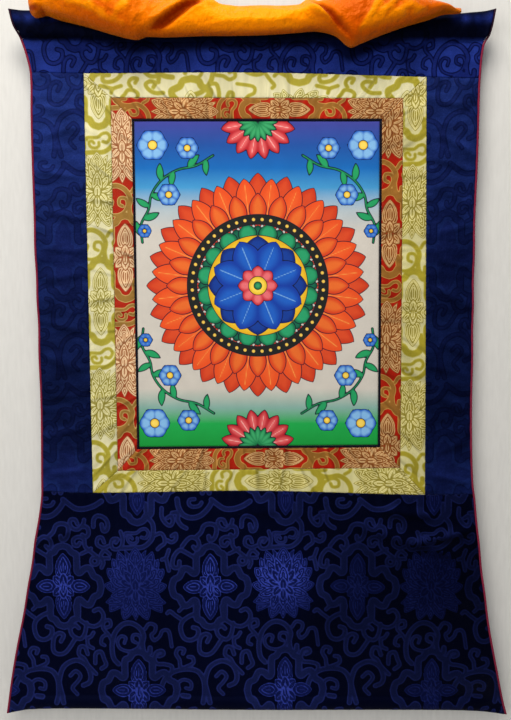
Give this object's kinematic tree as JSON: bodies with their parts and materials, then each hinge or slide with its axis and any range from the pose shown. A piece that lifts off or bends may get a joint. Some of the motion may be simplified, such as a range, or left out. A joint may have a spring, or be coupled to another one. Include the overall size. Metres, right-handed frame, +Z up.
{
  "type": "hanging scroll painting with brocade mounting and gathered silk veil",
  "caption": "Hanging scroll painting: a painted canvas in gold and red brocade frames, sewn into dark blue damask with a flared foot, with an orange silk veil gathered along the top.",
  "frame": {"origin": "middle of the top edge, where the scroll hangs", "axes": "+Z up, -Y out of the painted face towards the viewer, +X to the viewer's right"},
  "size_m": [0.73, 0.0648, 1.0356],
  "materials": {
    "blue_damask": "satin",
    "gold_brocade": "satin",
    "red_brocade": "satin",
    "dark_piping": "matt",
    "painted_canvas": "matt",
    "red_piping": "matt",
    "orange_silk": "satin"
  },
  "bodies": {
    "root": {"heading": "blue_damask", "side_left": "blue_damask", "side_right": "blue_damask", "foot": "blue_damask", "gold_top": "gold_brocade", "gold_right": "gold_brocade", "gold_bottom": "gold_brocade", "gold_left": "gold_brocade", "red_top": "red_brocade", "red_right": "red_brocade", "red_bottom": "red_brocade", "red_left": "red_brocade", "dark_piping_top": "dark_piping", "dark_piping_right": "dark_piping", "dark_piping_bottom": "dark_piping", "dark_piping_left": "dark_piping", "canvas": "painted_canvas", "piping_left": "red_piping", "piping_right": "red_piping", "veil": "orange_silk"}
  },
  "joints": []
}
